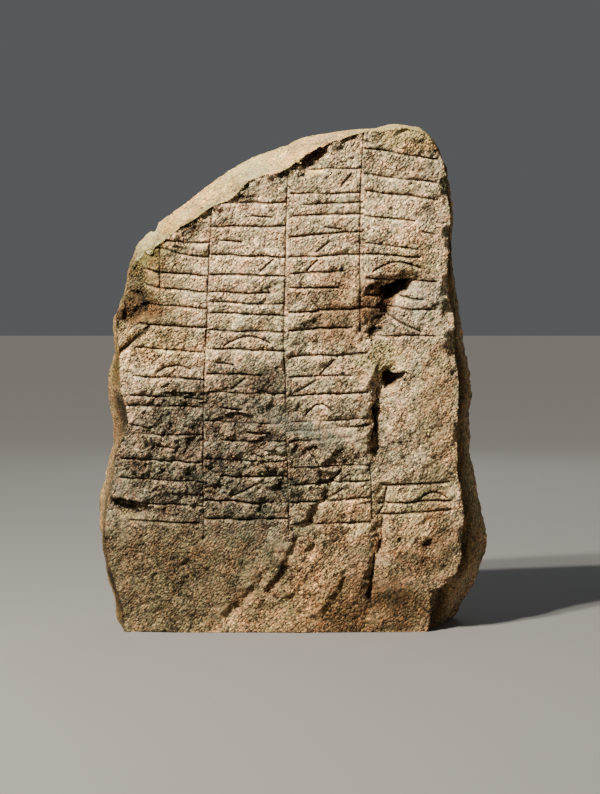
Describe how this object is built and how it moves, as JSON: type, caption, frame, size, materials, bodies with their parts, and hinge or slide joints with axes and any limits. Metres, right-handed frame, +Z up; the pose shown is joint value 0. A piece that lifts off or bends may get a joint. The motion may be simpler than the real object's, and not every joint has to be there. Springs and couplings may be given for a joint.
{
  "type": "rune stone",
  "caption": "Upright granite boulder with one flat face that carries rows of shallow carved strokes, cut off level at the ground.",
  "frame": {"origin": "centre of the stone's box, on the level cut where it meets the ground", "axes": "+Z up, along the stone's height; -Y is where the carved face looks; +X to the right of a person who faces the carving"},
  "size_m": [1.4726, 0.5538, 1.8754],
  "materials": {
    "granite": "rough weathered granite with dark specks, lichen and brown stains"
  },
  "bodies": {
    "root": {"rune_stone": "granite"}
  },
  "joints": []
}
